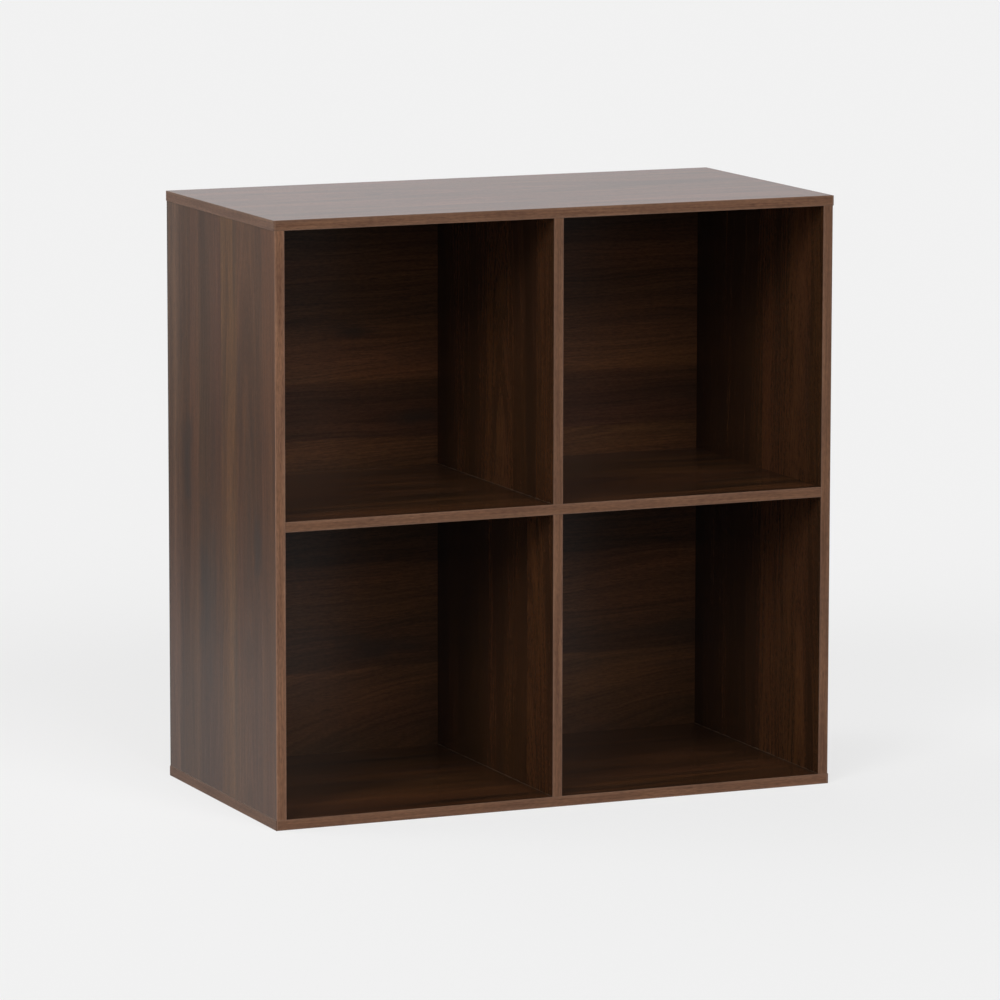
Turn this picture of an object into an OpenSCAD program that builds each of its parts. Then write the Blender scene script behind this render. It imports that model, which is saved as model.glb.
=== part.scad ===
// Cube storage unit: four open cubes, two wide and two high, standing on their bottom board.
// Edge-banded particleboard is joined with cam locks, wooden dowels and screws, and a
// hardboard back is nailed on behind. Millimetres, +Z up, front towards -Y, width along X.
// The origin is on the floor, at the middle of the footprint.

/* [Carcass] */
// Clear width of each cube
cube_w = 330; // [280:1:400]
// Clear height of each cube
cube_h = 330; // [280:1:400]
// Depth overall, from the front bands to the rear of the back panel
depth = 346; // [300:1:420]
// Thickness of the boards
board = 12; // [12:0.5:16]
// Thickness of the back panel
back_t = 3; // [2.5:0.1:4]

/* [Edge bands] */
// Thickness of the plastic edge band
band = 0.8; // [0.4:0.1:1.2]

/* [Fittings] */
// From the front or rear edge of a board to its first fitting
fitting_inset = 50; // [40:1:70]
// From a fitting to the dowel beside it
dowel_step = 32; // [20:1:48]
// Diameter of the cam locks
cam_d = 15; // [15:0.1:16]
// From the end of a board to the middle of its cam locks
cam_reach = 24; // [24:0.1:26]
// Diameter of the wooden dowels
dowel_d = 6; // [5:0.1:7]
// Length of the dowels in the corner joints
dowel_l = 30; // [26:1:36]
// Length of the dowels that pass through the shelf
long_dowel_l = 50; // [40:1:60]
// Length of the screws that hold the bottom
screw_l = 50; // [40:1:60]
// Length of the screws that hold the shelf to the lower divider
divider_screw_l = 45; // [35:1:50]

/* [Back nails] */
// Length of the nails
nail_l = 20; // [15:1:25]
// Nails down each side panel
side_nails = 6; // [4:2:8]
// Nails along the shelf
shelf_nails = 6; // [4:2:8]
// From the end of a row of nails to the board across it
nail_margin = 40; // [20:1:60]

/* [Hidden] */
$fn = 48;

// Carcass, worked out from the cubes
outer_w = 2 * cube_w + 3 * board;
inner_w = outer_w - 2 * board;
shelf_z = board + cube_h;
top_z = shelf_z + board + cube_h;
side_h = top_z - board;
front_y = -depth / 2;
rear_y = depth / 2;
edge_y = front_y + band;
back_y = rear_y - back_t;
side_x = (outer_w - board) / 2;
upright_xs = [-side_x, 0, side_x];

// Rows of fittings and dowels, counted from the edges of the boards
fitting_ys = [edge_y + fitting_inset, back_y - fitting_inset];
dowel_ys = [fitting_ys[0] + dowel_step, fitting_ys[1] - dowel_step];

// Edge band: its two long arrises are scraped round
band_r = 0.75 * band;

// Holes are drilled this much wider than what goes in them, and blind ones this much deeper
slip = 0.1;
end_room = 0.5;
// Cuts run this far past the surface they open through
past = 1;
// Gap or overlap that only keeps two surfaces from coinciding
hair = 0.01;

// Cam lock: a disc on a hollow drum whose inner wall winds in towards the axis
cam_disc_t = 2.6;
cam_below_bolt = 3.3;
cam_h = board / 2 + cam_below_bolt;
cam_pocket_h = cam_h + 2 * slip;
cam_wall_r = 4;
cam_wall_shift = 2.5;
cam_slot_h = 3.9;
cam_head_room = 0.4;
cam_turn = 200;
cam_mouth_w = 7;
cross_l = 7;
cross_w = 1.3;
cross_h = 2;
cover_d = 18;
cover_t = 0.3;

// Cam bolt: thread in one board, shank and head in the end of the other. The shank narrows to
// the neck at the rim of the lock, and the cone under the head hooks behind the lock's wall
bolt_thread_r = 2.5;
bolt_thread_l = 8;
bolt_bevel = 0.8;
bolt_taper_l = 1.2;
bolt_collar_r = 3.3;
bolt_collar_h = 1.5;
bolt_shank_r = 2.6;
bolt_neck_r = 1.7;
bolt_head_r = 3.1;
bolt_bore_r = 3.5;
bolt_neck_z = cam_reach - cam_d / 2;
bolt_head_z = cam_reach - 1.6;
bolt_end_z = cam_reach + 3;
bolt_cross_l = 3.4;
bolt_cross_w = 0.8;
bolt_cross_h = 1.2;

// Dowels: the corner ones go less far into the face of a board than into the end of the other
dowel_in_face = 8;
dowel_chamfer = 0.8;
flute_r = 0.35;
flutes = 12;

// Screws: both kinds are countersunk, the long ones with a hexagon socket
screw_r = 2.5;
screw_head_r = 4.2;
screw_head_h = 3;
screw_sunk = 0.3;
socket_w = 4;
socket_h = 2.5;
divider_screw_r = 2;
divider_head_r = 4;
divider_head_h = 2.4;
divider_cross_l = 4.4;
divider_cross_w = 1;
divider_cross_h = 1.6;
screw_tip_l = 4;

// Nails, set flush with the back panel
nail_r = 0.7;
nail_head_r = 1.6;
nail_head_t = 0.6;
nail_tip_l = 2;
nail_tip_r = 0.1;
divider_nails = 3;

function spread(low, high, count) = [for (i = [0 : count - 1]) low + (high - low) * i / (count - 1)];

side_nail_zs = spread(board + nail_margin, top_z - nail_margin, side_nails);
shelf_nail_xs = spread(-inner_w / 2 + nail_margin, inner_w / 2 - nail_margin, shelf_nails);
lower_nail_zs = spread(board + nail_margin, shelf_z - nail_margin, divider_nails);
upper_nail_zs = spread(shelf_z + board + nail_margin, top_z - nail_margin, divider_nails);

// ---- Edge bands ----

// Section of a band across the edge of a board: glued on x = 0, its arrises round on the other face
module band_section() {
    translate([band_r - band, 0])
        square([band - band_r, board]);
    translate([-band, band_r])
        square([band, board - 2 * band_r]);
    for (y = [band_r, board - band_r])
        translate([band_r - band, y])
            circle(r = band_r);
}

// Band along +X on a horizontal board whose edge is the plane y = 0 and faces -Y
module level_band(length) {
    rotate([90, 0, 90])
        linear_extrude(height = length)
            intersection() {
                band_section();
                translate([-band, 0])
                    square([band, board]);
            }
}

// The same band up an upright board, from z = 0
module upright_band(length) {
    translate([board / 2, 0, 0])
        rotate([0, -90, 0])
            level_band(length);
}

// Band on the left end of a top or bottom board, covering the end of its front band
module left_end_band() {
    translate([-outer_w / 2, rear_y, 0])
        rotate([0, 0, -90])
            level_band(depth);
}

// Band on the right end
module right_end_band() {
    translate([outer_w / 2, front_y, 0])
        rotate([0, 0, 90])
            level_band(depth);
}

// ---- Cam joint ----
// Drawn about its bolt: the bolt stands on the plane z = 0 of the board it is screwed into
// and runs up the end of the other board, whose cam is set in from its +X face.

module cam_bolt() {
    difference() {
        rotate_extrude()
            polygon([
                [0, -bolt_thread_l],
                [bolt_thread_r - bolt_bevel, -bolt_thread_l],
                [bolt_thread_r, bolt_bevel - bolt_thread_l],
                [bolt_thread_r, 0],
                [bolt_collar_r, 0],
                [bolt_collar_r, bolt_collar_h],
                [bolt_shank_r, bolt_collar_h],
                [bolt_shank_r, bolt_neck_z - bolt_taper_l],
                [bolt_neck_r, bolt_neck_z],
                [bolt_neck_r, bolt_head_z],
                [bolt_head_r, bolt_head_z + bolt_taper_l],
                [bolt_head_r, bolt_end_z - bolt_bevel],
                [bolt_head_r - bolt_bevel, bolt_end_z],
                [0, bolt_end_z]
            ]);
        translate([0, 0, bolt_end_z - bolt_cross_h])
            cross_recess(bolt_cross_l, bolt_cross_w, bolt_cross_h + past);
    }
}

// Cross for a screwdriver, cut upwards from z = 0
module cross_recess(length, width, height) {
    for (turn = [0, 90])
        rotate([0, 0, turn])
            translate([-length / 2, -width / 2, 0])
                cube([length, width, height]);
}

// Slot round the lock's middle: the wedge that the bolt's neck sweeps as the lock turns, straight
// where the turn ends, and room for the head
module cam_slot_outline() {
    polygon([[0, 0], for (i = [0 : 4]) cam_d * [cos(180 - i * cam_turn / 4), sin(180 - i * cam_turn / 4)]]);
    translate([-cam_d, -cam_slot_h / 2])
        square([cam_d, cam_slot_h]);
    circle(r = bolt_head_r + cam_head_room);
}

// The lock on its own: face at z = 0 and drum below, its bolt coming in from -X.
// Turned tight, the narrow end of the winding inner wall holds the bolt head.
module cam_drum() {
    difference() {
        translate([0, 0, -cam_h])
            cylinder(h = cam_h, d = cam_d - 2 * slip);
        // room for the bolt head, off centre so that the wall winds inwards
        translate([cam_wall_shift, 0, -cam_h - past])
            cylinder(h = cam_h + past - cam_disc_t, r = cam_wall_r);
        translate([0, 0, -(board + cam_slot_h) / 2])
            linear_extrude(height = cam_slot_h)
                cam_slot_outline();
        // mouth that the head goes in by
        rotate([0, 0, 180 - cam_turn])
            translate([0, -cam_mouth_w / 2, -cam_h - past])
                cube([cam_d, cam_mouth_w, cam_h + past - cam_disc_t]);
        translate([0, 0, -cross_h])
            cross_recess(cross_l, cross_w, cross_h + past);
    }
}

module cam_lock() {
    translate([board / 2, 0, cam_reach])
        rotate([0, -90, 180])
            cam_drum();
}

// Thin stick-on disc over the lock
module cam_cover() {
    translate([board / 2, 0, cam_reach])
        rotate([0, 90, 0])
            cylinder(h = cover_t, d = cover_d);
}

// Bore and pocket in the board that the lock sits in
module cam_cut() {
    translate([0, 0, -past])
        cylinder(h = cam_reach + past, r = bolt_bore_r);
    translate([board / 2 - cam_pocket_h, 0, cam_reach])
        rotate([0, 90, 0])
            cylinder(h = cam_pocket_h + past, d = cam_d);
}

// Hole for the bolt's thread
module bolt_cut() {
    translate([0, 0, -bolt_thread_l - end_room])
        cylinder(h = bolt_thread_l + end_room + past, r = bolt_thread_r + slip / 2);
}

// The joints under the top: the left side and the divider have their locks in the face
// towards +X, the right side in the face towards -X
module at_top_joints() {
    for (x = upright_xs)
        for (y = fitting_ys)
            translate([x, y, top_z])
                rotate([180, 0, x > 0 ? 180 : 0])
                    children();
}

// The joints at the ends of the shelf, with the locks in its underside
module at_shelf_joints() {
    for (end = [-1, 1])
        for (y = fitting_ys)
            translate([end * inner_w / 2, y, shelf_z + board / 2])
                rotate([0, 90, end > 0 ? 180 : 0])
                    children();
}

// ---- Dowels ----

// Fluted dowel along Z, centred on the origin, with chamfered ends
module dowel(length) {
    intersection() {
        rotate_extrude()
            polygon([
                [0, -length / 2],
                [dowel_d / 2 - dowel_chamfer, -length / 2],
                [dowel_d / 2, dowel_chamfer - length / 2],
                [dowel_d / 2, length / 2 - dowel_chamfer],
                [dowel_d / 2 - dowel_chamfer, length / 2],
                [0, length / 2]
            ]);
        translate([0, 0, -length / 2])
            linear_extrude(height = length)
                difference() {
                    circle(d = dowel_d + past);
                    for (i = [0 : flutes - 1])
                        rotate(i * 360 / flutes)
                            translate([dowel_d / 2, 0])
                                circle(r = flute_r);
                }
    }
}

// Corner dowel and its hole: the plane z = 0 is the face of the board across the joint,
// and the end of the other board is above it
module corner_dowel() {
    translate([0, 0, dowel_l / 2 - dowel_in_face])
        dowel(dowel_l);
}

module corner_dowel_cut() {
    translate([0, 0, -dowel_in_face - end_room])
        cylinder(h = dowel_l + 2 * end_room, d = dowel_d + slip);
}

module long_dowel_cut() {
    translate([0, 0, -long_dowel_l / 2 - end_room])
        cylinder(h = long_dowel_l + 2 * end_room, d = dowel_d + slip);
}

module at_bottom_dowels() {
    for (x = upright_xs)
        for (y = dowel_ys)
            translate([x, y, board])
                children();
}

module at_top_dowels() {
    for (x = upright_xs)
        for (y = dowel_ys)
            translate([x, y, top_z])
                rotate([180, 0, 0])
                    children();
}

module at_shelf_dowels() {
    for (end = [-1, 1])
        for (y = dowel_ys)
            translate([end * inner_w / 2, y, shelf_z + board / 2])
                rotate([0, -90 * end, 0])
                    children();
}

module at_divider_dowels() {
    for (y = dowel_ys)
        translate([0, y, shelf_z + board / 2])
            children();
}

// ---- Screws and nails ----

// Countersunk screw: the plane z = 0 is the face it goes in by, and it runs up +Z
module screw_body(length, shank_r, head_r, head_h, sunk) {
    rotate_extrude()
        polygon([
            [0, sunk],
            [head_r, sunk],
            [shank_r, sunk + head_h],
            [shank_r, length - screw_tip_l],
            [shank_r / 3, length],
            [0, length]
        ]);
}

module screw_cut(length, shank_r, head_r, head_h, sunk) {
    translate([0, 0, sunk])
        cylinder(h = head_h, r1 = head_r + slip / 2, r2 = shank_r + slip / 2);
    translate([0, 0, -past])
        cylinder(h = sunk + past + hair, r = head_r + slip / 2);
    cylinder(h = length + end_room, r = shank_r + slip / 2);
}

module bottom_screw() {
    difference() {
        screw_body(screw_l, screw_r, screw_head_r, screw_head_h, screw_sunk);
        cylinder(h = screw_sunk + socket_h, r = socket_w / sqrt(3), $fn = 6);
    }
}

module bottom_screw_cut() {
    screw_cut(screw_l, screw_r, screw_head_r, screw_head_h, screw_sunk);
}

module divider_screw() {
    difference() {
        screw_body(divider_screw_l, divider_screw_r, divider_head_r, divider_head_h, 0);
        translate([0, 0, -past])
            cross_recess(divider_cross_l, divider_cross_w, divider_cross_h + past);
    }
}

module divider_screw_cut() {
    screw_cut(divider_screw_l, divider_screw_r, divider_head_r, divider_head_h, 0);
}

module at_bottom_screws() {
    for (x = upright_xs)
        for (y = fitting_ys)
            translate([x, y, 0])
                children();
}

// Down through the shelf, where the upper divider hides the heads
module at_divider_screws() {
    for (y = fitting_ys)
        translate([0, y, shelf_z + board])
            rotate([180, 0, 0])
                children();
}

// Nail along +Z, its head flush with z = 0
module nail() {
    cylinder(h = nail_head_t, r = nail_head_r);
    cylinder(h = nail_l - nail_tip_l, r = nail_r);
    translate([0, 0, nail_l - nail_tip_l])
        cylinder(h = nail_tip_l, r1 = nail_r, r2 = nail_tip_r);
}

module nail_cut() {
    translate([0, 0, -past])
        cylinder(h = nail_head_t + past, r = nail_head_r);
    cylinder(h = nail_l, r = nail_r + hair);
}

module at_nails() {
    for (x = [-side_x, side_x])
        for (z = side_nail_zs)
            nail_place(x, z)
                children();
    for (x = shelf_nail_xs)
        nail_place(x, shelf_z + board / 2)
            children();
    for (z = concat(lower_nail_zs, upper_nail_zs))
        nail_place(0, z)
            children();
}

module nail_place(x, z) {
    translate([x, rear_y, z])
        rotate([90, 0, 0])
            children();
}

// ---- Boards ----

module top_panel() {
    color("saddlebrown")
        difference() {
            translate([-outer_w / 2, edge_y, top_z])
                cube([outer_w, rear_y - edge_y, board]);
            at_top_joints()
                bolt_cut();
            at_top_dowels()
                corner_dowel_cut();
        }
}

module bottom_panel() {
    color("saddlebrown")
        difference() {
            translate([-outer_w / 2, edge_y, 0])
                cube([outer_w, rear_y - edge_y, board]);
            at_bottom_screws()
                bottom_screw_cut();
            at_bottom_dowels()
                corner_dowel_cut();
        }
}

// Side panel whose middle is at x, between the bottom and the top
module side_panel(x) {
    difference() {
        translate([x - board / 2, edge_y, board])
            cube([board, back_y - edge_y, side_h]);
        at_bottom_screws()
            bottom_screw_cut();
        at_bottom_dowels()
            corner_dowel_cut();
        at_top_joints()
            cam_cut();
        at_top_dowels()
            corner_dowel_cut();
        at_shelf_joints()
            bolt_cut();
        at_shelf_dowels()
            corner_dowel_cut();
        at_nails()
            nail_cut();
    }
}

module left_side() {
    color("saddlebrown")
        side_panel(-side_x);
}

module right_side() {
    color("saddlebrown")
        side_panel(side_x);
}

module middle_shelf() {
    color("saddlebrown")
        difference() {
            translate([-inner_w / 2, edge_y, shelf_z])
                cube([inner_w, back_y - edge_y, board]);
            at_shelf_joints()
                cam_cut();
            at_shelf_dowels()
                corner_dowel_cut();
            at_divider_dowels()
                long_dowel_cut();
            at_divider_screws()
                divider_screw_cut();
            at_nails()
                nail_cut();
        }
}

module upper_divider() {
    color("saddlebrown")
        difference() {
            translate([-board / 2, edge_y, shelf_z + board])
                cube([board, back_y - edge_y, cube_h]);
            at_top_joints()
                cam_cut();
            at_top_dowels()
                corner_dowel_cut();
            at_divider_dowels()
                long_dowel_cut();
            at_nails()
                nail_cut();
        }
}

module lower_divider() {
    color("saddlebrown")
        difference() {
            translate([-board / 2, edge_y, board])
                cube([board, back_y - edge_y, cube_h]);
            at_bottom_screws()
                bottom_screw_cut();
            at_bottom_dowels()
                corner_dowel_cut();
            at_divider_dowels()
                long_dowel_cut();
            at_divider_screws()
                divider_screw_cut();
            at_nails()
                nail_cut();
        }
}

// Lies on the rear edges of the sides, shelf and dividers, between the top and the bottom
module back_panel() {
    color("sienna")
        difference() {
            translate([-outer_w / 2, back_y, board])
                cube([outer_w, back_t, side_h]);
            at_nails()
                nail_cut();
        }
}

// ---- Bands, one to each edge that shows ----

module top_front_band() {
    color("peru")
        translate([-outer_w / 2, edge_y, top_z])
            level_band(outer_w);
}

module top_left_band() {
    color("peru")
        translate([0, 0, top_z])
            left_end_band();
}

module top_right_band() {
    color("peru")
        translate([0, 0, top_z])
            right_end_band();
}

module bottom_front_band() {
    color("peru")
        translate([-outer_w / 2, edge_y, 0])
            level_band(outer_w);
}

module bottom_left_band() {
    color("peru")
        left_end_band();
}

module bottom_right_band() {
    color("peru")
        right_end_band();
}

module left_side_band() {
    color("peru")
        translate([-side_x, edge_y, board])
            upright_band(side_h);
}

module right_side_band() {
    color("peru")
        translate([side_x, edge_y, board])
            upright_band(side_h);
}

module shelf_band() {
    color("peru")
        translate([-inner_w / 2, edge_y, shelf_z])
            level_band(inner_w);
}

module upper_divider_band() {
    color("peru")
        translate([0, edge_y, shelf_z + board])
            upright_band(cube_h);
}

module lower_divider_band() {
    color("peru")
        translate([0, edge_y, board])
            upright_band(cube_h);
}

// ---- Fittings, each kind and joint as one group ----

module top_cam_locks() {
    color("silver")
        at_top_joints()
            cam_lock();
}

module top_cam_bolts() {
    color("silver")
        at_top_joints()
            cam_bolt();
}

module top_cam_covers() {
    color("saddlebrown")
        at_top_joints()
            cam_cover();
}

module shelf_cam_locks() {
    color("silver")
        at_shelf_joints()
            cam_lock();
}

module shelf_cam_bolts() {
    color("silver")
        at_shelf_joints()
            cam_bolt();
}

module shelf_cam_covers() {
    color("saddlebrown")
        at_shelf_joints()
            cam_cover();
}

module bottom_screws() {
    color("silver")
        at_bottom_screws()
            bottom_screw();
}

module divider_screws() {
    color("silver")
        at_divider_screws()
            divider_screw();
}

module bottom_dowels() {
    color("burlywood")
        at_bottom_dowels()
            corner_dowel();
}

module top_dowels() {
    color("burlywood")
        at_top_dowels()
            corner_dowel();
}

module shelf_dowels() {
    color("burlywood")
        at_shelf_dowels()
            corner_dowel();
}

module divider_dowels() {
    color("burlywood")
        at_divider_dowels()
            dowel(long_dowel_l);
}

module back_nails() {
    color("silver")
        at_nails()
            nail();
}

top_panel();
bottom_panel();
left_side();
right_side();
middle_shelf();
upper_divider();
lower_divider();
back_panel();
top_front_band();
top_left_band();
top_right_band();
bottom_front_band();
bottom_left_band();
bottom_right_band();
left_side_band();
right_side_band();
shelf_band();
upper_divider_band();
lower_divider_band();
top_cam_locks();
top_cam_bolts();
top_cam_covers();
shelf_cam_locks();
shelf_cam_bolts();
shelf_cam_covers();
bottom_screws();
divider_screws();
bottom_dowels();
top_dowels();
shelf_dowels();
divider_dowels();
back_nails();
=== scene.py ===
import math
import bpy
import numpy as np
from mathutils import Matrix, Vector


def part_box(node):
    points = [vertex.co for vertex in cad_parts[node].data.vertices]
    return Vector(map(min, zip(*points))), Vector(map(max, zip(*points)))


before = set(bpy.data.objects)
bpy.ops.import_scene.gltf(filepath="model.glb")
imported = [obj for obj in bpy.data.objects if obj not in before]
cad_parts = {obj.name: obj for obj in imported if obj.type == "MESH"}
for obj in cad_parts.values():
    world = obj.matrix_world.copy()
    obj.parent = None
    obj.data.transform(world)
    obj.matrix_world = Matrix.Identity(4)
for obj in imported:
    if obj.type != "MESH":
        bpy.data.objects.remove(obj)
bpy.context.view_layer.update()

# Bottom panel
# The base board: 12 mm particleboard, faced on both sides with a printed walnut-look laminate whose grain
# runs left to right. It is sawn square and drilled from below for six screws. Its rear edge stays bare.

def add(tree, kind, sockets=None, **settings):
    """Adds a node with these settings. Each socket gets a plain value, or the output that feeds it."""
    node = tree.nodes.new("ShaderNode" + kind)
    for name, value in settings.items():
        setattr(node, name, value)
    for name, value in (sockets or {}).items():
        if isinstance(value, bpy.types.NodeSocket):
            tree.links.new(value, node.inputs[name])
        else:
            node.inputs[name].default_value = value
    return node


def calc(tree, operation, *values):
    """The output of one Math node."""
    return add(tree, "Math", dict(enumerate(values)), operation=operation).outputs[0]


def spread(tree, value, low, high, to_low=0.0, to_high=1.0):
    """Stretches the range low to high of a value over a new range, and holds it there."""
    sockets = {"Value": value, "From Min": low, "From Max": high, "To Min": to_low, "To Max": to_high}
    return add(tree, "MapRange", sockets).outputs["Result"]


def blend(tree, factor, first, second, how="MIX"):
    """The colour of one Mix node."""
    return add(tree, "Mix", {0: factor, 6: first, 7: second}, data_type="RGBA", blend_type=how).outputs[2]


def choose(tree, factor, first, second):
    """The value of one Mix node."""
    return add(tree, "Mix", {0: factor, 2: first, 3: second}, data_type="FLOAT").outputs[0]


def swing(tree, colour, mask, amount, green=1.0, blue=1.0):
    """Multiplies a colour by 1 - amount where the mask is 0 and by 1 + amount where it is 1. Green and
    blue shares below 1 make the bright places redder."""
    way = calc(tree, "MULTIPLY", calc(tree, "MULTIPLY_ADD", mask, 2.0, -1.0), amount)
    factors = [calc(tree, "MULTIPLY_ADD", way, share, 1.0) for share in (1.0, green, blue)]
    factor = add(tree, "CombineColor", dict(enumerate(factors))).outputs[0]
    return blend(tree, 1.0, colour, factor, "MULTIPLY")


def flow(tree, across, along, seed, fine, slow, detail=0.0, roughness=0.5):
    """Noise that changes `fine` times a metre across the grain and `slow` times a metre along it."""
    stretched = {0: calc(tree, "MULTIPLY", across, fine), 1: calc(tree, "MULTIPLY", along, slow), 2: seed}
    place = add(tree, "CombineXYZ", stretched).outputs[0]
    sockets = {"Vector": place, "Scale": 1.0, "Detail": detail, "Roughness": roughness}
    return add(tree, "TexNoise", sockets).outputs[0]


def centred(tree, noise, size):
    """A noise of 0 to 1 as a shift of up to half of `size` either way."""
    return calc(tree, "MULTIPLY_ADD", noise, size, -size / 2)


def group(name, takes, gives):
    """Starts a node group with named inputs, floats or colours, and named outputs. Gives the tree and its
    two ends."""
    tree = bpy.data.node_groups.new(name, "ShaderNodeTree")
    for label, value in takes.items():
        kind = "NodeSocketColor" if isinstance(value, tuple) else "NodeSocketFloat"
        tree.interface.new_socket(label, in_out="INPUT", socket_type=kind).default_value = value
    for label, kind in gives.items():
        tree.interface.new_socket(label, in_out="OUTPUT", socket_type="NodeSocket" + kind)
    return tree, tree.nodes.new("NodeGroupInput").outputs, tree.nodes.new("NodeGroupOutput").inputs


def feed(tree, outputs, **values):
    """Links a group's results to its named outputs."""
    for label, value in values.items():
        tree.links.new(value, outputs[label])


VEIN_INK = (0.008, 0.005, 0.003, 1)
CLOUD_INK = (0.019, 0.012, 0.009, 1)
PORE_INK = (0.012, 0.006, 0.003, 1)


def walnut_print():
    """The printed figure. The growth rings are cones round a heart that lies `Depth` under the face and
    climbs by `Rise`: a point's ring is the root of (across - heart) squared plus depth squared, which draws
    straight grain far from the heart and cathedral arches over it. Noise on the ring gives broad bands, of
    contrast `Bands`, lines broken by short flecks, of contrast `Lines`, and thin dark veins. `Green` and
    `Blue` are the shares of those colours in the bands. Dark streaks, clouds and fine dashes, the pores,
    lie over them."""
    takes = {
        "Along": 0.0, "Across": 0.0, "Seed": 0.0, "Heart": 0.0, "Depth": 0.05, "Rise": 0.1, "Bands": 0.2,
        "Lines": 0.3, "Green": 1.0, "Blue": 1.0, "Clouds": 0.0, "Tone": (0.05, 0.02, 0.01, 1.0),
    }
    gives = {"Color": "Color", "Relief": "Float", "Gloss": "Float"}
    tree, given, result = group("walnut_print", takes, gives)
    along, across, seed = given["Along"], given["Across"], given["Seed"]
    wander = centred(tree, flow(tree, across, along, seed, 3.0, 1.2), 0.036)
    drift = centred(tree, flow(tree, across, along, seed, 28.0, 8.0), 0.012)
    ripple = centred(tree, flow(tree, across, along, seed, 150.0, 40.0), 0.0014)
    from_heart = calc(tree, "SUBTRACT", across, given["Heart"])
    aside = calc(tree, "ADD", from_heart, calc(tree, "ADD", wander, drift))
    depth = calc(tree, "ADD", calc(tree, "MULTIPLY_ADD", along, given["Rise"], given["Depth"]), wander)
    squares = calc(tree, "ADD", calc(tree, "MULTIPLY", aside, aside), calc(tree, "MULTIPLY", depth, depth))
    ring = calc(tree, "ADD", calc(tree, "SQRT", squares), ripple)
    bands = spread(tree, flow(tree, ring, along, seed, 55.0, 2.0, detail=1.0), 0.25, 0.75)
    straight = flow(tree, ring, along, seed, 310.0, 6.0, detail=2.0, roughness=0.7)
    fleck = spread(tree, flow(tree, across, along, seed, 650.0, 170.0, detail=1.0), 0.2, 0.8, -0.5, 0.5)
    lines = spread(tree, calc(tree, "MULTIPLY_ADD", fleck, 0.4, straight), 0.25, 0.75)
    crease = calc(tree, "ABSOLUTE", calc(tree, "SUBTRACT", flow(tree, ring, along, seed, 120.0, 2.5), 0.5))
    veins = spread(tree, crease, 0.0, 0.06, 1.0, 0.0)
    dashes = spread(tree, flow(tree, across, along, seed, 1300.0, 50.0), 0.58, 0.70)
    pores = calc(tree, "MULTIPLY", dashes, spread(tree, straight, 0.35, 0.65))
    streaks = spread(tree, flow(tree, across, along, seed, 40.0, 4.0, detail=1.0), 0.60, 0.76)
    hue = spread(tree, flow(tree, across, along, seed, 14.0, 3.0), 0.3, 0.7)
    warmth = blend(tree, hue, (1.02, 0.99, 1.01, 1), (0.98, 1.01, 0.93, 1))
    colour = blend(tree, 1.0, given["Tone"], warmth, "MULTIPLY")
    colour = swing(tree, colour, bands, given["Bands"], given["Green"], given["Blue"])
    colour = swing(tree, colour, lines, given["Lines"], 0.97, 0.85)
    colour = blend(tree, calc(tree, "MULTIPLY", veins, 0.25), colour, VEIN_INK)
    dark = calc(tree, "MAXIMUM", calc(tree, "MULTIPLY", streaks, 0.35), given["Clouds"])
    colour = blend(tree, dark, colour, CLOUD_INK)
    colour = blend(tree, calc(tree, "MULTIPLY", pores, 0.55), colour, PORE_INK)
    relief = calc(tree, "SUBTRACT", calc(tree, "MULTIPLY", lines, 0.3), pores)
    gloss = calc(tree, "SUBTRACT", calc(tree, "MULTIPLY_ADD", bands, 0.5, lines), 0.75)
    feed(tree, result, Color=colour, Relief=relief, Gloss=gloss)
    return tree


def soft_cloud():
    """A soft dark cloud in the figure, drawn out along the grain: 1 in its middle and 0 outside. It is an
    ellipse, 0.3 of its length wide, and noise makes its rim ragged."""
    takes = {"Along": 0.0, "Across": 0.0, "Middle along": 0.0, "Middle across": 0.0, "Length": 0.1}
    tree, given, result = group("soft_cloud", takes, {"Mask": "Float"})
    along, across, length = given["Along"], given["Across"], given["Length"]
    ragged = centred(tree, flow(tree, across, along, given["Middle across"], 70.0, 25.0, detail=1.0), 1.4)
    width = calc(tree, "MULTIPLY", length, 0.3)
    aside = calc(tree, "DIVIDE", calc(tree, "SUBTRACT", across, given["Middle across"]), width)
    ahead = calc(tree, "DIVIDE", calc(tree, "SUBTRACT", along, given["Middle along"]), length)
    squares = calc(tree, "ADD", calc(tree, "MULTIPLY", aside, aside), calc(tree, "MULTIPLY", ahead, ahead))
    out = calc(tree, "ADD", calc(tree, "SQRT", squares), ragged)
    feed(tree, result, Mask=spread(tree, out, 0.3, 1.1, 1.0, 0.0))
    return tree


def pale_end_line():
    """A ragged strip up to about 1 mm wide along a board's end."""
    takes = {"From end": 0.0, "Across": 0.0, "Seed": 0.0}
    tree, given, result = group("pale_end_line", takes, {"Mask": "Float"})
    ragged = flow(tree, given["Across"], 0.0, given["Seed"], 90.0, 0.0)
    width = spread(tree, ragged, 0.35, 0.65, 0.0003, 0.0011)
    feed(tree, result, Mask=calc(tree, "LESS_THAN", given["From end"], width))
    return tree


PALE_FLAKE = (0.50, 0.33, 0.18, 1)
DARK_FLAKE = (0.25, 0.14, 0.065, 1)
FLAKE_GAP = (0.10, 0.05, 0.025, 1)


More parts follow.
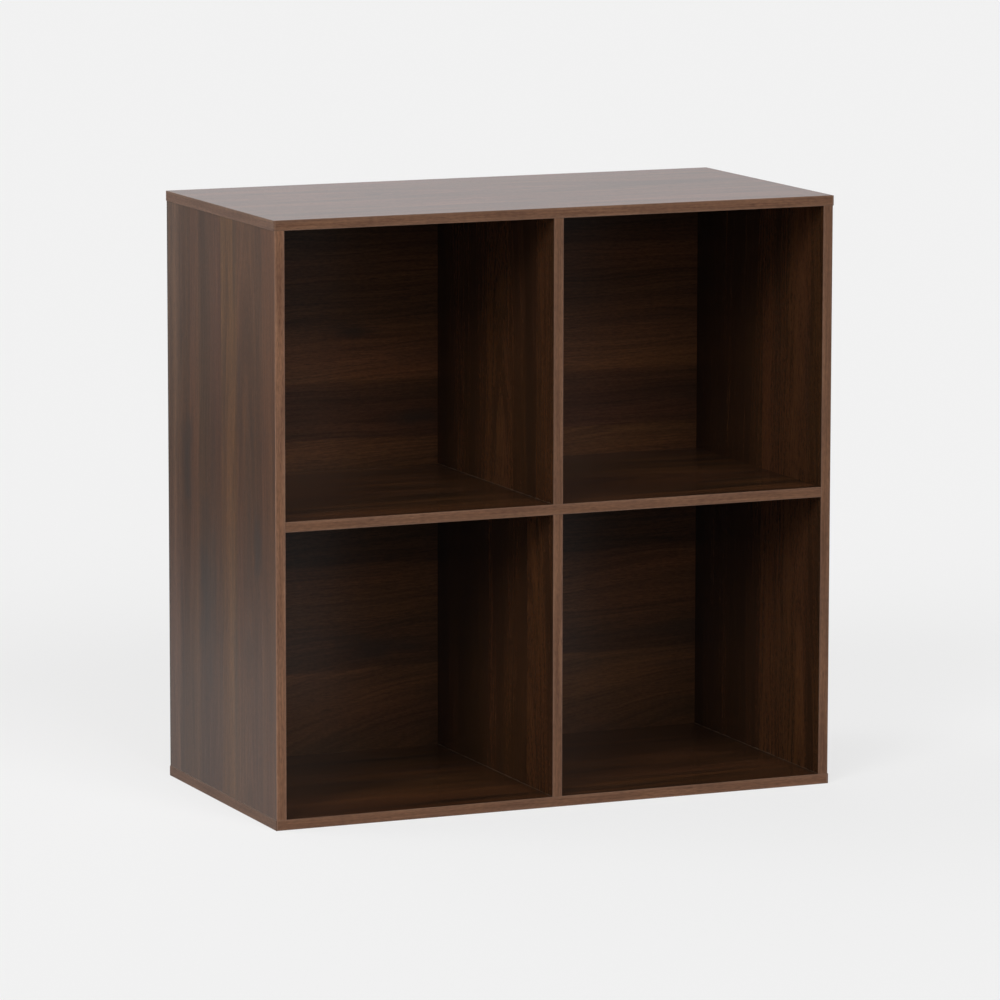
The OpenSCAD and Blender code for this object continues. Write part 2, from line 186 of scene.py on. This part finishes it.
def chipboard():
    """Sawn particleboard: coarse flakes, each with its own tan, and dark gaps between them."""
    tree, given, result = group("chipboard", {"Flake size": 0.004}, {"Color": "Color", "Height": "Float"})
    place = add(tree, "TexCoord").outputs["Object"]
    scale = calc(tree, "DIVIDE", 1.0, given["Flake size"])
    flakes = add(tree, "TexVoronoi", {"Vector": place, "Scale": scale}, feature="F1")
    gaps = add(tree, "TexVoronoi", {"Vector": place, "Scale": scale}, feature="DISTANCE_TO_EDGE").outputs[0]
    shade = add(tree, "SeparateColor", {0: flakes.outputs["Color"]}).outputs[0]
    tans = blend(tree, shade, PALE_FLAKE, DARK_FLAKE)
    fibre = add(tree, "TexNoise", {"Vector": place, "Scale": 900.0}).outputs[0]
    tans = blend(tree, 0.5, tans, fibre, "SOFT_LIGHT")
    edge = spread(tree, gaps, 0.0, 0.08)
    feed(tree, result, Color=blend(tree, edge, FLAKE_GAP, tans), Height=edge)
    return tree


WALNUT = walnut_print()
CLOUD = soft_cloud()
PALE_END_LINE = pale_end_line()
CHIPBOARD = chipboard()
AXES = "xyz"


def dress(node, material):
    """Gives a node of the frame its material."""
    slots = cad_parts[node].data.materials
    slots.clear()
    slots.append(material)


def plain_material(name, roughness, specular=0.5, metallic=0.0):
    """A new material with a Principled shader; returns the material, its tree and the shader."""
    material = bpy.data.materials.new(name)
    material.use_nodes = True
    tree = material.node_tree
    shader = tree.nodes["Principled BSDF"]
    shader.inputs["Roughness"].default_value = roughness
    shader.inputs["Specular IOR Level"].default_value = specular
    shader.inputs["Metallic"].default_value = metallic
    return material, tree, shader


def bump(tree, shader, height, strength, distance):
    """Raises the surface by a height map."""
    relief = add(tree, "Bump", {"Strength": strength, "Distance": distance, "Height": height})
    tree.links.new(relief.outputs[0], shader.inputs["Normal"])


GREEN_SHARE, BLUE_SHARE = 0.355, 0.13     # the walnut brown's green and blue, as shares of its red
GREEN_TRACE, BLUE_TRACE = 0.0028, 0.0025  # what is added to them, so that dark wood is greyer
LEAF_JOINT = 0.01  # two stops closer than this share of the width are a joint between two leaves
LEAF_STEP = 7.3    # how far the noise's seed moves from one leaf to the next


def broad_tone(tree, share, stops):
    """The print's broad colour across the board. Each stop is (share of the width, tone). A third number
    makes it yellower (+) or more purple (-), and a fourth adds grey, a painted sheen."""
    ramp = add(tree, "ValToRGB", {0: share})
    elements = ramp.color_ramp.elements
    elements.remove(elements[1])
    for i, (at, tone, *rest) in enumerate(stops):
        stop = elements[0] if i == 0 else elements.new(at)
        warm, painted_sheen = (rest + [0.0, 0.0])[:2]
        green = tone * (GREEN_SHARE + warm) + GREEN_TRACE
        blue = tone * (BLUE_SHARE - 0.5 * warm) + BLUE_TRACE
        stop.position = at
        stop.color = (tone + painted_sheen, green + painted_sheen, blue + painted_sheen, 1.0)
    return ramp.outputs[0]


CLOUD_STRENGTH = 0.65
LEAF_SWAY = 0.02  # how far a joint between leaves wanders, as a share of the width


def laminate(tree, place, grain, across, low, high, seed, stops, heart, depth, rise, clouds=(),
             bands=0.18, lines=0.31, tint=(0.8, 0.5), fade=0.0):
    """The colour, relief and gloss of the printed face. Every leaf of the figure starts the noise anew, and
    the leaves' joints sway a little. `bands` and `lines` are the contrasts of the figure's broad bands and
    its lines, `tint` the green and blue shares of the bands' contrast, and the last, the painted shading,
    how much darker the board is painted at its low or left end and lighter at its other end: painted shade
    and painted light for the way the light falls along it. A cloud is given by its place across and along
    the grain and its length, in metres."""
    k, g = AXES.index(across), AXES.index(grain)
    over, along = place[k], place[g]
    sway = centred(tree, flow(tree, over, along, seed, 5.0, 3.0), LEAF_SWAY)
    share = calc(tree, "ADD", spread(tree, over, low[k], high[k]), sway)
    leaf = seed
    for (before, *_), (after, *_) in zip(stops, stops[1:]):
        if after - before < LEAF_JOINT:
            leaf = calc(tree, "MULTIPLY_ADD", calc(tree, "GREATER_THAN", share, after), LEAF_STEP, leaf)
    colour = broad_tone(tree, share, stops)
    if fade:
        length = high[g] - low[g]
        far = spread(tree, along, low[g] + 0.4 * length, low[g] + 0.9 * length)
        colour = swing(tree, colour, far, fade)
    darkest = 0.0
    for at_across, at_along, length in clouds:
        spot = {"Along": along, "Across": over, "Middle along": at_along, "Middle across": at_across}
        mask = add(tree, "Group", {"Length": length, **spot}, node_tree=CLOUD).outputs[0]
        darkest = calc(tree, "MAXIMUM", darkest, calc(tree, "MULTIPLY", mask, CLOUD_STRENGTH))
    green, blue = tint
    figure = {
        "Along": along, "Across": over, "Seed": leaf, "Heart": heart, "Depth": depth, "Rise": rise,
        "Bands": bands, "Lines": lines, "Green": green, "Blue": blue, "Clouds": darkest, "Tone": colour,
    }
    printed = add(tree, "Group", figure, node_tree=WALNUT).outputs
    return printed["Color"], printed["Relief"], printed["Gloss"]


SATIN = (0.25, 0.20)     # the laminate's roughness and its low specular level
DUSTY = (0.346, 0.06)    # the same on top, where dust and cloths have dulled it
GLOSSY = 0.012           # how much smoother the pale grain is than the dark lines
RELIEF = (0.35, 0.0001)  # the strength and height of the bumps in the print and in the sawn core
PAPER = 0.00015          # how thick the printed paper and its resin are
FACE_STEP = 5.0          # how far the noise's seed moves from a board's one face to its other
SAWN_ROUGHNESS = 0.85
# the pale grey drawn in a thin ragged strip along a board's low or left end
PALE_END = (0.11, 0.085, 0.065, 1)


def walnut_board(node, grain, across, seed, finish=SATIN, **figure):
    """A laminated board: print on its two faces, and bare particleboard on its rear edge and in drilled
    holes. A thin ragged strip along the board's low or left end is drawn paler and greyer."""
    low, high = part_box(node)
    thick = (set(AXES) - {grain, across}).pop()
    material, tree, shader = plain_material("walnut_" + node, *finish)
    place = add(tree, "SeparateXYZ", {0: add(tree, "TexCoord").outputs["Object"]}).outputs
    k = AXES.index(thick)
    middle = (low[k] + high[k]) / 2
    far_face = calc(tree, "GREATER_THAN", place[k], middle)
    face_seed = calc(tree, "MULTIPLY_ADD", far_face, FACE_STEP, float(seed))
    colour, relief, gloss = laminate(tree, place, grain, across, low, high, face_seed, **figure)
    along = place[AXES.index(grain)]
    from_end = calc(tree, "SUBTRACT", along, low[AXES.index(grain)])
    end = {"From end": from_end, "Across": place[AXES.index(across)], "Seed": float(seed)}
    end_line = add(tree, "Group", end, node_tree=PALE_END_LINE).outputs[0]
    colour = blend(tree, calc(tree, "MULTIPLY", end_line, 0.5), colour, PALE_END)
    from_middle = calc(tree, "ABSOLUTE", calc(tree, "SUBTRACT", place[k], middle))
    on_face = calc(tree, "GREATER_THAN", from_middle, (high[k] - low[k]) / 2 - PAPER)
    core = add(tree, "Group", {"Flake size": 0.0035}, node_tree=CHIPBOARD).outputs
    tree.links.new(blend(tree, on_face, core["Color"], colour), shader.inputs["Base Color"])
    satin = calc(tree, "MULTIPLY_ADD", gloss, -GLOSSY, finish[0])
    tree.links.new(choose(tree, on_face, SAWN_ROUGHNESS, satin), shader.inputs["Roughness"])
    bump(tree, shader, choose(tree, on_face, core["Height"], relief), *RELIEF)
    dress(node, material)


bottom_stops = [
    (0.00, 0.046), (0.09, 0.047), (0.15, 0.056), (0.20, 0.061), (0.26, 0.059), (0.33, 0.044), (0.42, 0.041),
    (0.56, 0.044), (0.66, 0.033), (0.78, 0.029), (0.90, 0.032), (1.00, 0.040),
]
walnut_board("bottom_panel", "x", "y", 11, stops=bottom_stops, heart=-0.02, depth=0.06, rise=0.05,
             bands=0.42, lines=0.52)

# Edge bands of the bottom panel
# Strips of 0.8 mm plastic with a printed wood grain, glued over the front edge and both ends after sawing.
# The trimmed arrises show the paler plastic, drawn in part as a painted highlight where the rounded arris
# catches the light, and the middle of the strip is darker.

BAND_MIDDLE = (0.107, 0.054, 0.032, 1)
BAND_EDGE = (0.117, 0.061, 0.037, 1)
BAND_DASH = (0.035, 0.017, 0.010, 1)
# the arrises' pale colour: bared plastic, and a painted highlight where the light catches them
BAND_ARRIS = (0.142, 0.086, 0.062, 1)
BAND_ROUGHNESS = 0.45


def edge_grain():
    """Fine straight grain along a strip, with a darker line of its own down the middle."""
    takes = {"Along": 0.0, "Across": 0.0, "Seed": 0.0}
    gives = {"Color": "Color", "Lines": "Float"}
    tree, given, result = group("edge_grain", takes, gives)
    along, across, seed = given["Along"], given["Across"], given["Seed"]
    sway = centred(tree, flow(tree, across, along, seed, 60.0, 5.0), 0.004)
    line = calc(tree, "ADD", across, sway)
    lines = flow(tree, line, along, seed, 500.0, 9.0, detail=1.0)
    slow = flow(tree, across, along, seed, 90.0, 12.0)
    fleck = flow(tree, across, along, seed, 550.0, 140.0, detail=1.0)
    dashes = spread(tree, flow(tree, across, along, seed, 1600.0, 80.0), 0.60, 0.72)
    from_middle = spread(tree, calc(tree, "ABSOLUTE", line), 0.0008, 0.0042)
    colour = blend(tree, from_middle, BAND_MIDDLE, BAND_EDGE)
    colour = swing(tree, colour, spread(tree, lines, 0.3, 0.7), 0.17, 1.15, 1.2)
    colour = swing(tree, colour, spread(tree, slow, 0.3, 0.7), 0.08, 0.95, 0.65)
    colour = swing(tree, colour, spread(tree, fleck, 0.3, 0.7), 0.14)
    colour = blend(tree, calc(tree, "MULTIPLY", dashes, 0.35), colour, BAND_DASH)
    feed(tree, result, Color=colour, Lines=calc(tree, "SUBTRACT", lines, dashes))
    return tree


def bare_arris_highlight():
    """Where a strip is drawn paler: faintly along its two arrises, and fully at its ends. This stands for
    the plastic that trimming has bared and for a painted highlight where the rounded arris catches the
    light.
    `Half length` stays far out of reach on a strip whose ends don't show."""
    takes = {"Across": 0.0, "Half width": 0.006, "Along": 0.0, "Half length": 10.0}
    tree, given, result = group("bare_arris_highlight", takes, {"Mask": "Float"})
    arris = given["Half width"]
    start, stop = calc(tree, "SUBTRACT", arris, 0.0013), calc(tree, "SUBTRACT", arris, 0.0006)
    sides = spread(tree, calc(tree, "ABSOLUTE", given["Across"]), start, stop, 0.0, 0.4)
    end = given["Half length"]
    start, stop = calc(tree, "SUBTRACT", end, 0.0016), calc(tree, "SUBTRACT", end, 0.0008)
    ends = spread(tree, calc(tree, "ABSOLUTE", given["Along"]), start, stop)
    feed(tree, result, Mask=calc(tree, "MAXIMUM", sides, ends))
    return tree


EDGE_GRAIN = edge_grain()
BARE_ARRIS_HIGHLIGHT = bare_arris_highlight()


def edge_band(node, grain, across, seed, tone=1.0, sheen=0.06, bare_ends=False):
    """A band: the grain runs along it, and the arrises are paler, as are ends that show at a corner: partly
    bared plastic and partly a painted highlight. Its tone is given band by band: the bands on the ends,
    which face the sides, are painted darker than those in front, the bottom ones most, as painted shade."""
    low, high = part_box(node)
    k, g = AXES.index(across), AXES.index(grain)
    material, tree, shader = plain_material("band_" + node, BAND_ROUGHNESS, sheen)
    place = add(tree, "SeparateXYZ", {0: add(tree, "TexCoord").outputs["Object"]}).outputs
    over = calc(tree, "SUBTRACT", place[k], (low[k] + high[k]) / 2)
    where = {"Along": place[g], "Across": over, "Seed": float(seed)}
    strip = add(tree, "Group", where, node_tree=EDGE_GRAIN).outputs
    rim = {"Across": over, "Half width": (high[k] - low[k]) / 2}
    if bare_ends:
        rim["Along"] = calc(tree, "SUBTRACT", place[g], (low[g] + high[g]) / 2)
        rim["Half length"] = (high[g] - low[g]) / 2
    pale = add(tree, "Group", rim, node_tree=BARE_ARRIS_HIGHLIGHT).outputs[0]
    colour = blend(tree, pale, strip["Color"], BAND_ARRIS)
    colour = blend(tree, 1.0, colour, (tone, tone, tone, 1), "MULTIPLY")
    tree.links.new(colour, shader.inputs["Base Color"])
    bump(tree, shader, strip["Lines"], 0.25, 0.00006)
    dress(node, material)


edge_band("bottom_front_band", "x", "z", 1, tone=1.11, bare_ends=True)
# The end bands' low tone is painted shade.
edge_band("bottom_left_band", "y", "z", 2, tone=0.72, sheen=0.08)
edge_band("bottom_right_band", "y", "z", 3, tone=0.72, sheen=0.08)

# Left and right sides, with their front bands
# Two like uprights of the same board, grain up and down, with a plastic band glued over the front edge.
# They stand on the bottom panel, on screws and dowels, and carry the top on cam joints.

# The grey in the last three stops is a painted sheen on the rear strip of the left side.
left_stops = [
    (0.00, 0.061), (0.07, 0.066), (0.115, 0.063), (0.119, 0.051), (0.16, 0.048), (0.20, 0.055),
    (0.30, 0.059), (0.345, 0.061), (0.349, 0.067, 0.03), (0.43, 0.071, 0.03), (0.494, 0.067, 0.03),
    (0.497, 0.050, -0.01), (0.57, 0.046, -0.01), (0.65, 0.039), (0.705, 0.041), (0.71, 0.052),
    (0.79, 0.051), (0.795, 0.044), (0.85, 0.043), (0.89, 0.049, 0.0, 0.005), (0.93, 0.060, 0.0, 0.009),
    (1.00, 0.053, 0.0, 0.012),
]
right_stops = [
    (0.00, 0.052), (0.06, 0.044), (0.092, 0.044), (0.096, 0.055), (0.14, 0.066), (0.22, 0.066),
    (0.30, 0.056), (0.36, 0.055), (0.40, 0.061), (0.462, 0.063), (0.466, 0.044), (0.52, 0.035),
    (0.64, 0.031), (0.70, 0.034), (0.80, 0.037), (0.88, 0.030), (1.00, 0.028),
]
left_clouds = [(0.108, 0.388, 0.07), (-0.116, 0.316, 0.05), (0.045, 0.235, 0.11)]
HANDLED = (0.286, 0.10)  # roughness and specular level of the outer face that hands have dulled
# The left side is painted darker low down and lighter towards the top: painted shade and painted light for
# how the light falls on it.
walnut_board("left_side", "z", "y", 21, HANDLED, stops=left_stops, heart=-0.09, depth=0.012, rise=0.04,
             clouds=left_clouds, bands=0.2, lines=0.34, tint=(1.2, 1.4), fade=0.13)
right_figure = {
    "stops": right_stops, "heart": -0.12, "depth": 0.01, "rise": 0.05, "bands": 0.26, "lines": 0.38,
}
walnut_board("right_side", "z", "y", 23, **right_figure)
edge_band("left_side_band", "z", "x", 4, tone=1.34)
edge_band("right_side_band", "z", "x", 5, tone=1.03)

# Lower and upper divider, with their front bands
# Uprights of the same board, one below the shelf and one above it, grain up and down. Two screws and two
# through dowels hold them to the shelf.

lower_stops = [
    (0.00, 0.054), (0.07, 0.056), (0.12, 0.063), (0.16, 0.068), (0.218, 0.062), (0.222, 0.043),
    (0.35, 0.043), (0.39, 0.047), (0.43, 0.043), (0.48, 0.051), (0.53, 0.055), (0.588, 0.048),
    (0.592, 0.034), (0.66, 0.030), (0.75, 0.034), (0.86, 0.037), (0.93, 0.029), (1.00, 0.033),
]
upper_stops = [
    (0.00, 0.058), (0.07, 0.055), (0.115, 0.060), (0.146, 0.056), (0.150, 0.044), (0.20, 0.040),
    (0.28, 0.045), (0.34, 0.050), (0.372, 0.056), (0.376, 0.066), (0.43, 0.071), (0.53, 0.070),
    (0.60, 0.061), (0.66, 0.057), (0.71, 0.050), (0.76, 0.052), (0.764, 0.062), (0.80, 0.062),
    (0.84, 0.055), (0.89, 0.043), (0.94, 0.035), (1.00, 0.045),
]
walnut_board("lower_divider", "z", "y", 31, stops=lower_stops, heart=-0.10, depth=0.03, rise=0.05,
             bands=0.26, lines=0.36)
walnut_board("upper_divider", "z", "y", 33, stops=upper_stops, heart=-0.02, depth=0.03, rise=0.05,
             bands=0.2, lines=0.34)
edge_band("lower_divider_band", "z", "x", 6, tone=1.1)
edge_band("upper_divider_band", "z", "x", 7, tone=1.03)

# Middle shelf, with its front band
# One board right through between the sides, grain left to right, with a plastic band in front. It hangs on
# cam joints and dowels in the sides.

# Towards the rear the shelf is painted lighter, painted light, and the grey in its last stops is a painted
# reflection.
shelf_stops = [
    (0.00, 0.058), (0.06, 0.056), (0.11, 0.047), (0.15, 0.037), (0.24, 0.042), (0.30, 0.034), (0.40, 0.031),
    (0.48, 0.038), (0.54, 0.043), (0.62, 0.043), (0.70, 0.038), (0.84, 0.040, 0.0, 0.002),
    (0.90, 0.047, 0.0, 0.003), (1.00, 0.062, 0.0, 0.004),
]
walnut_board("middle_shelf", "x", "y", 41, stops=shelf_stops, heart=-0.02, depth=0.06, rise=0.05,
             bands=0.58, lines=0.62)
edge_band("shelf_band", "x", "z", 8, tone=1.08)

# Top panel, with its bands
# The same board as the bottom panel, laid over the sides and the back and drawn down by cam joints. Dust
# and cloths have dulled its face a little.

# The top's tones are painted lighter than the other boards': painted light for the stronger light on the
# top face.
top_stops = [
    (0.00, 0.081, -0.06), (0.20, 0.077, -0.06), (0.35, 0.081, -0.06), (0.50, 0.077, -0.06),
    (0.70, 0.082, -0.06), (0.85, 0.079, -0.06), (1.00, 0.082, -0.06),
]
walnut_board("top_panel", "x", "y", 51, DUSTY, stops=top_stops, heart=0.04, depth=0.05, rise=0.05,
             bands=0.32, lines=0.6)
edge_band("top_front_band", "x", "z", 9, tone=1.07, sheen=0.07, bare_ends=True)
# The end bands' low tone is painted shade.
edge_band("top_left_band", "y", "z", 10, tone=0.83, sheen=0.105)
edge_band("top_right_band", "y", "z", 11, tone=0.83, sheen=0.105)

# Back panel
# One sheet of 3 mm hardboard, printed on the side that faces the cubes and bare brown behind. It is nailed
# to the rear edges of the sides, the shelf and the dividers. The top and bottom panels cover its ends.

back_stops = [
    (0.00, 0.031), (0.03, 0.034), (0.07, 0.041), (0.12, 0.048), (0.146, 0.056), (0.149, 0.034),
    (0.19, 0.038), (0.235, 0.050), (0.27, 0.069), (0.30, 0.081), (0.334, 0.069), (0.340, 0.043),
    (0.37, 0.042), (0.49, 0.037), (0.51, 0.052), (0.535, 0.061), (0.559, 0.055), (0.562, 0.035, -0.02),
    (0.61, 0.034, -0.02), (0.659, 0.041, -0.01), (0.662, 0.070), (0.70, 0.074), (0.745, 0.060),
    (0.78, 0.055), (0.835, 0.053), (0.86, 0.070), (0.88, 0.073), (0.90, 0.056), (0.925, 0.041),
    (1.00, 0.038),
]
back_clouds = [(0.136, -0.089, 0.06), (0.52, -0.121, 0.04), (0.411, -0.039, 0.04)]
PALE_FIBRE, BROWN_FIBRE = (0.25, 0.148, 0.078, 1), (0.21, 0.122, 0.062, 1)
DARK_FIBRE, SAWN_FIBRE = (0.11, 0.058, 0.028, 1), (0.045, 0.035, 0.028, 1)
FIBRE_ROUGHNESS = 0.8


def hardboard(node, seed, **figure):
    """The printed face in front, pressed wood fibre on the rear, and dark sawn edges at the sides."""
    low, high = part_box(node)
    material, tree, shader = plain_material("hardboard", *SATIN)
    coordinate = add(tree, "TexCoord").outputs["Object"]
    place = add(tree, "SeparateXYZ", {0: coordinate}).outputs
    colour, relief, gloss = laminate(tree, place, "x", "z", low, high, float(seed), **figure)
    fibre = add(tree, "TexNoise", {"Vector": coordinate, "Scale": 700.0, "Detail": 3.0}).outputs[0]
    patches = add(tree, "TexNoise", {"Vector": coordinate, "Scale": 20.0, "Detail": 2.0}).outputs[0]
    brown = blend(tree, spread(tree, patches, 0.3, 0.7), BROWN_FIBRE, PALE_FIBRE)
    brown = blend(tree, spread(tree, fibre, 0.35, 0.65, 0.0, 0.35), brown, DARK_FIBRE)
    aside = calc(tree, "GREATER_THAN", calc(tree, "ABSOLUTE", place[0]), high[0] - PAPER)
    brown = blend(tree, aside, brown, SAWN_FIBRE)
    on_face = calc(tree, "LESS_THAN", place[1], low[1] + PAPER)
    tree.links.new(blend(tree, on_face, brown, colour), shader.inputs["Base Color"])
    satin = calc(tree, "MULTIPLY_ADD", gloss, -GLOSSY, SATIN[0])
    tree.links.new(choose(tree, on_face, FIBRE_ROUGHNESS, satin), shader.inputs["Roughness"])
    bump(tree, shader, choose(tree, on_face, fibre, relief), *RELIEF)
    dress(node, material)


hardboard("back_panel", 61, stops=back_stops, heart=-0.03, depth=0.10, rise=-0.13, clouds=back_clouds)

# Screws, cam bolts, cam locks and nails
# The fittings that draw the boards together: turned steel screws and bolts with a zinc plating, cast zinc
# locks, and bright steel nails. Most of them are hidden in the boards.

def dull_patches():
    """Dull patches on metal, `Grain` of them to the metre."""
    tree, given, result = group("dull_patches", {"Grain": 400.0}, {"Mask": "Float"})
    place = add(tree, "TexCoord").outputs["Object"]
    feed(tree, result, Mask=add(tree, "TexNoise", {"Vector": place, "Scale": given["Grain"]}).outputs[0])
    return tree


DULL_PATCHES = dull_patches()


def metal(name, colour, roughness, nodes, grain=400.0):
    """Metal whose dull patches are paler, rougher and a little raised."""
    material, tree, shader = plain_material(name, roughness, metallic=1.0)
    patches = add(tree, "Group", {"Grain": grain}, node_tree=DULL_PATCHES).outputs[0]
    dark = tuple(0.75 * c for c in colour)
    dull = spread(tree, patches, 0.3, 0.7, roughness - 0.08, roughness + 0.1)
    tree.links.new(blend(tree, patches, (*dark, 1), (*colour, 1)), shader.inputs["Base Color"])
    tree.links.new(dull, shader.inputs["Roughness"])
    bump(tree, shader, patches, 0.1, 0.00003)
    for node in nodes:
        dress(node, material)


screws_and_bolts = ["bottom_screws", "divider_screws", "top_cam_bolts", "shelf_cam_bolts"]
metal("plated_steel", (0.60, 0.59, 0.56), 0.32, screws_and_bolts)
metal("cast_zinc", (0.46, 0.46, 0.47), 0.48, ["top_cam_locks", "shelf_cam_locks"], 900.0)
metal("bright_nail", (0.56, 0.56, 0.56), 0.35, ["back_nails"], 1200.0)

# Dowels and lock covers
# Fluted beech dowels, glued into both boards of a joint, and round stickers of printed film over the locks
# that face the cubes.

DARK_BEECH, PALE_BEECH = (0.42, 0.27, 0.14, 1), (0.58, 0.41, 0.24, 1)

beech, tree, shader = plain_material("beech", 0.7, 0.3)
place = add(tree, "TexCoord").outputs["Object"]
fleck = add(tree, "TexNoise", {"Vector": place, "Scale": 1100.0, "Detail": 2.0}).outputs[0]
tan = blend(tree, spread(tree, fleck, 0.35, 0.65), DARK_BEECH, PALE_BEECH)
tree.links.new(tan, shader.inputs["Base Color"])
bump(tree, shader, fleck, 0.2, 0.0001)
for node in ("bottom_dowels", "top_dowels", "shelf_dowels", "divider_dowels"):
    dress(node, beech)

cover, tree, shader = plain_material("cover_film", *SATIN)
place = add(tree, "SeparateXYZ", {0: add(tree, "TexCoord").outputs["Object"]}).outputs
low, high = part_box("right_side")
film, relief, _ = laminate(tree, place, "z", "y", low, high, 23.0, **right_figure)
tree.links.new(film, shader.inputs["Base Color"])
bump(tree, shader, relief, *RELIEF)
for node in ("top_cam_covers", "shelf_cam_covers"):
    dress(node, cover)

# Floor
# A pale studio floor. Seen directly or in a reflection it is near white, and it keeps the unit's shadow. In
# a reflection it fades out between one and 2.4 metres from the unit, and is paler again far behind it.

WHITE = 0.888       # how bright the background looks
FLOOR_GLOW = 0.935  # the floor's own part of that
GLOW_SHARE = 0.75   # the rest of the floor's look is the light that falls on it


def seen(tree):
    """1 for a ray that shows the background: from the camera, in a reflection or through glass."""
    path = add(tree, "LightPath").outputs
    shown = calc(tree, "MAXIMUM", path["Is Camera Ray"], path["Is Glossy Ray"])
    return calc(tree, "MAXIMUM", shown, path["Is Transmission Ray"])


floor_half, floor_drop = 60.0, 0.0004
mesh = bpy.data.meshes.new("floor")
corners = [(x, y, -floor_drop) for x, y in ((-1, -1), (1, -1), (1, 1), (-1, 1))]
mesh.from_pydata([(x * floor_half, y * floor_half, z) for x, y, z in corners], [], [(0, 1, 2, 3)])
floor = bpy.data.objects.new("floor", mesh)
bpy.context.scene.collection.objects.link(floor)
material, tree, shader = plain_material("pale_floor", 0.9, 0.0)
shader.inputs["Base Color"].default_value = (0.88, 0.88, 0.88, 1)
place = add(tree, "TexCoord").outputs["Object"]
distance = add(tree, "VectorMath", {0: place}, operation="LENGTH").outputs["Value"]
rear = spread(tree, add(tree, "SeparateXYZ", {0: place}).outputs[1], 2.6, 4.6, 0.0, 0.5)
dim = calc(tree, "SUBTRACT", spread(tree, distance, 1.0, 2.4, 0.0, 0.95), rear)
unlit = calc(tree, "MULTIPLY", dim, add(tree, "LightPath").outputs["Is Glossy Ray"])
strength = calc(tree, "MULTIPLY_ADD", unlit, -FLOOR_GLOW, FLOOR_GLOW)
glow = add(tree, "Emission", {"Color": (1, 1, 1, 1), "Strength": strength})
share = calc(tree, "MULTIPLY", seen(tree), GLOW_SHARE)
mixed = add(tree, "MixShader", {0: share, 1: shader.outputs[0], 2: glow.outputs[0]})
tree.links.new(mixed.outputs[0], tree.nodes["Material Output"].inputs[0])
mesh.materials.append(material)

# Light
# Soft windows of light round the unit, two in front, two on the left and a wide one behind. Each is a patch
# of sky given by its direction, width and strength.

world = bpy.data.worlds.new("studio")
world.use_nodes = True
bpy.context.scene.world = world
tree = world.node_tree
sky = add(tree, "TexCoord").outputs["Generated"]


def window(name, azimuth, height, half_width, strength):
    """A round soft patch. Its azimuth is in degrees from the front towards the left, and its height in
    degrees above the floor."""
    a, e = math.radians(azimuth), math.radians(height)
    towards = (-math.sin(a) * math.cos(e), -math.cos(a) * math.cos(e), math.sin(e))
    near = add(tree, "VectorMath", {0: sky, 1: towards}, operation="DOT_PRODUCT").outputs["Value"]
    patch = {"Value": near, "From Min": math.cos(math.radians(half_width)), "To Max": strength}
    return add(tree, "MapRange", patch, label=name, interpolation_type="SMOOTHSTEP").outputs["Result"]


light = 0.0
for name, azimuth, height, half_width, strength in (
    ("front", -10, 32, 18, 9.6),
    ("low front", 10, 22, 18, 3.3),
    ("left", 50, 31, 18, 10.2),
    ("low left", 120, 8, 32, 6.9),
    ("back", 180, 18, 45, 1.05),
):
    light = calc(tree, "ADD", light, window(name, azimuth, height, half_width, strength))
from_camera = add(tree, "LightPath").outputs["Is Camera Ray"]
light = calc(tree, "MULTIPLY", light, calc(tree, "SUBTRACT", 1.0, from_camera))
strength = calc(tree, "MULTIPLY_ADD", seen(tree), WHITE, light)
background = tree.nodes["Background"]
background.inputs["Color"].default_value = (1, 1, 1, 1)
tree.links.new(strength, background.inputs["Strength"])

# Camera
# A long lens at the front left, a little above the top panel, aimed slightly down.
# Turn, tilt and roll are in radians.

turn, tilt, roll = 0.4083, 0.1555, 0.0015
lens_mm, sensor_mm = 222.6, 36.0
stand = (-2.8445, -6.5797, 1.4578)
ahead = np.array([math.sin(turn) * math.cos(tilt), math.cos(turn) * math.cos(tilt), -math.sin(tilt)])
right = np.array([math.cos(turn), -math.sin(turn), 0.0])
up = np.cross(right, ahead)
right, up = right * math.cos(roll) + up * math.sin(roll), up * math.cos(roll) - right * math.sin(roll)
camera = bpy.data.objects.new("camera", bpy.data.cameras.new("camera"))
camera.data.lens, camera.data.sensor_width = lens_mm, sensor_mm
pose = np.eye(4)
pose[:3, 0], pose[:3, 1], pose[:3, 2], pose[:3, 3] = right, up, -ahead, stand
camera.matrix_world = pose.T
bpy.context.scene.collection.objects.link(camera)
bpy.context.scene.camera = camera
bpy.context.scene.view_settings.view_transform = "Standard"
